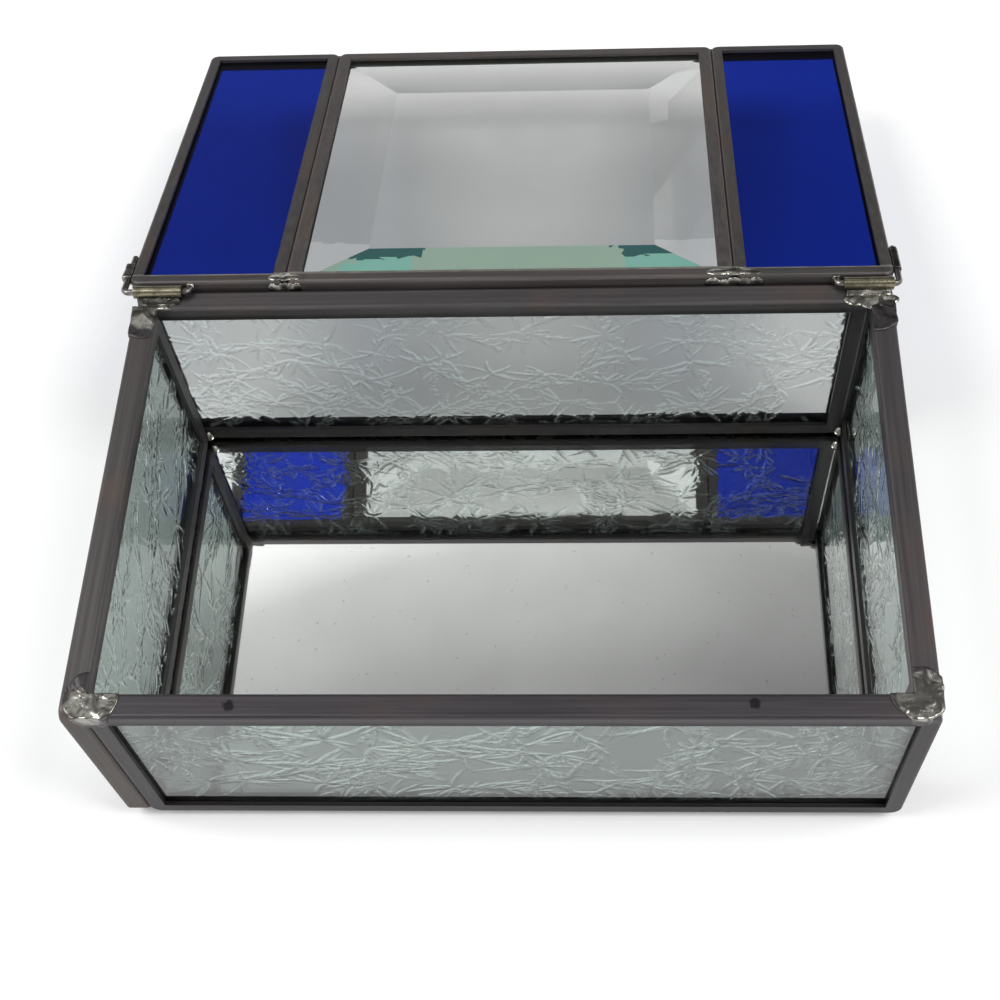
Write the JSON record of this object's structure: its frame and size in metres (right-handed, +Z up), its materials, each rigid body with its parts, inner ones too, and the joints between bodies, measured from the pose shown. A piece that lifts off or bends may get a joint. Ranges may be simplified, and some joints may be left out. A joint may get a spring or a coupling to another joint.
{
  "type": "glass casket box",
  "caption": "Rectangular keepsake box of framed textured glass on a mirror base, with a lid of blue and bevelled panes hinged at the back on wires in tubes.",
  "frame": {"origin": "middle of the underside of the mirror base, on the surface that the box stands on", "axes": "+X to the right across the front, +Y from the front wall to the hinge at the back, +Z up; the lid is stored open"},
  "size_m": [0.1846, 0.2187, 0.0597],
  "materials": {
    "chip_glass": "clear glass with a chipped feather texture",
    "clear_glass": "polished mirror glass, slightly green at its edge",
    "blue_glass": "polished cobalt blue cathedral glass",
    "bevelled_glass": "polished clear glass, bevelled on its outer face",
    "silvering": "silvered",
    "backing_paint": "matt grey protective paint",
    "came": "dark patina, satin, with rubbed edges",
    "solder": "uneven, bright where it has been wiped",
    "foil": "tinned, satin",
    "wire": "tinned, satin",
    "tube": "tinned brass, dulled"
  },
  "bodies": {
    "box": {"front_glass": "chip_glass", "front_came": "came", "back_glass": "chip_glass", "back_came": "came", "left_glass": "chip_glass", "left_came": "came", "right_glass": "chip_glass", "right_came": "came", "mirror_pane": "clear_glass", "mirror_silvering": "silvering", "mirror_backing": "backing_paint", "base_foil": "foil", "base_tack_solder": "solder", "front_left_solder": "solder", "front_right_solder": "solder", "back_left_solder": "solder", "back_right_solder": "solder", "inside_corner_solder": "solder", "left_hinge_tube": "tube", "right_hinge_tube": "tube", "left_tube_solder": "solder", "right_tube_solder": "solder"},
    "lid": {"lid_left_pane": "blue_glass", "lid_centre_pane": "bevelled_glass", "lid_right_pane": "blue_glass", "lid_left_came": "came", "lid_centre_came": "came", "lid_right_came": "came", "lid_left_seam_solder": "solder", "lid_right_seam_solder": "solder", "lid_front_seam_solder": "solder", "left_hinge_wire": "wire", "right_hinge_wire": "wire", "left_arm_solder": "solder", "right_arm_solder": "solder", "left_hook_solder": "solder", "right_hook_solder": "solder"}
  },
  "joints": [
    {"name": "lid_hinge", "type": "hinge", "parent": "box", "child": "lid", "pos_m": [0, 0.0536, 0.05825], "axis": [1, 0, 0], "range_deg": [0, 194.5]}
  ]
}
